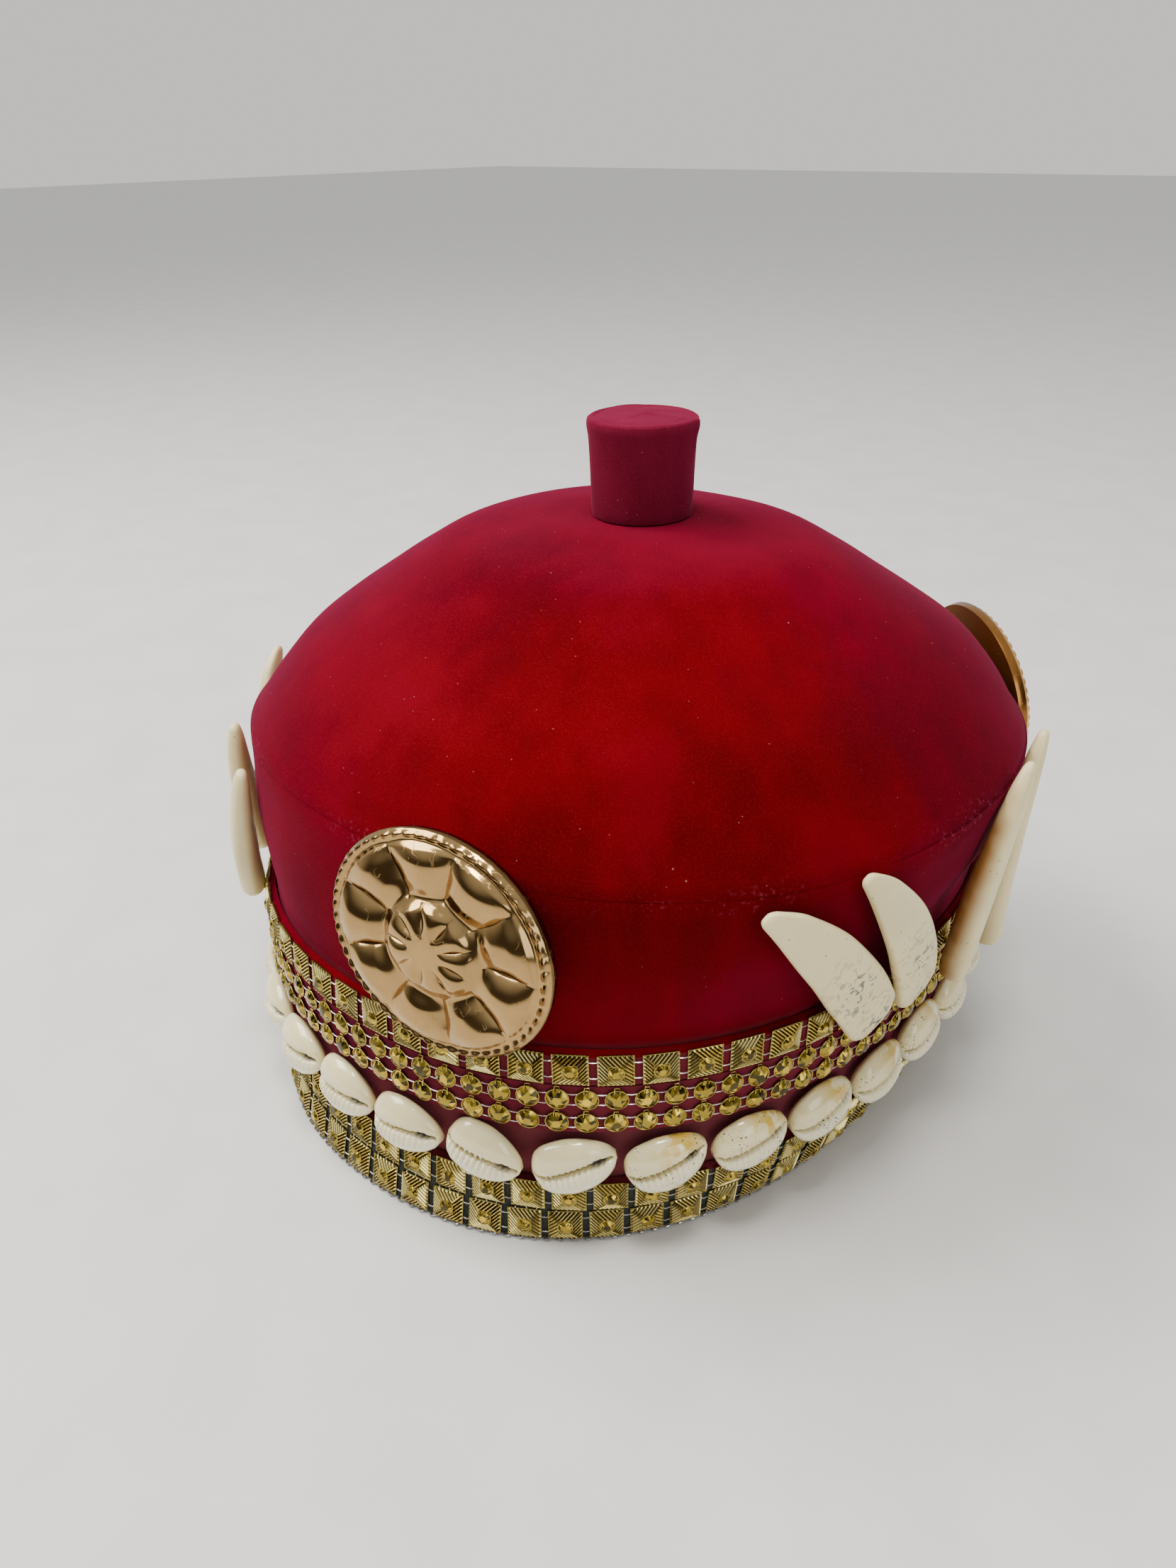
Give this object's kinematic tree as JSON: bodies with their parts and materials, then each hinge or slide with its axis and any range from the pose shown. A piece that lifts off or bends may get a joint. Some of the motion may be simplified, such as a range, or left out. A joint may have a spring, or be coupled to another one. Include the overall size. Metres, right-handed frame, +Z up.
{
  "type": "cowrie shell hat",
  "caption": "Flared velvet hat with a short stub on its low domed top, two studded metal trims, a ring of cowrie shells, tusk ornaments and oval cast medallions.",
  "frame": {"origin": "centre of the head opening, at the level of the rim that the hat stands on", "axes": "+Z up through the crown, Y along the long way of the oval, with the front ornament towards -Y, X across the head"},
  "size_m": [0.2073, 0.2211, 0.1726],
  "materials": {
    "velvet": "deep red cotton velvet, brushed nap with lint",
    "gold": "bright plated stamped metal trim, worn at the edges",
    "medallion": "polished cast metal",
    "shell": "natural glossy cream shell with a toothed slit",
    "ivory": "cream resin teeth, satin, with fine dark scratches"
  },
  "bodies": {
    "root": {"crown_side": "velvet", "crown_top": "velvet", "crown_stem": "velvet", "lower_trim": "gold", "stone_trim": "gold", "square_trim": "gold", "cowrie_01": "shell", "cowrie_02": "shell", "cowrie_03": "shell", "cowrie_04": "shell", "cowrie_05": "shell", "cowrie_06": "shell", "cowrie_07": "shell", "cowrie_08": "shell", "cowrie_09": "shell", "cowrie_10": "shell", "cowrie_11": "shell", "cowrie_12": "shell", "cowrie_13": "shell", "cowrie_14": "shell", "cowrie_15": "shell", "cowrie_16": "shell", "cowrie_17": "shell", "cowrie_18": "shell", "cowrie_19": "shell", "cowrie_20": "shell", "cowrie_21": "shell", "cowrie_22": "shell", "cowrie_23": "shell", "cowrie_24": "shell", "cowrie_25": "shell", "cowrie_26": "shell", "cowrie_27": "shell", "cowrie_28": "shell", "cowrie_29": "shell", "cowrie_30": "shell", "tusk_right_1": "ivory", "tusk_right_2": "ivory", "tusk_right_3": "ivory", "tusk_right_4": "ivory", "tusk_left_1": "ivory", "tusk_left_2": "ivory", "tusk_left_3": "ivory", "front_medallion": "medallion", "back_medallion": "medallion"}
  },
  "joints": []
}
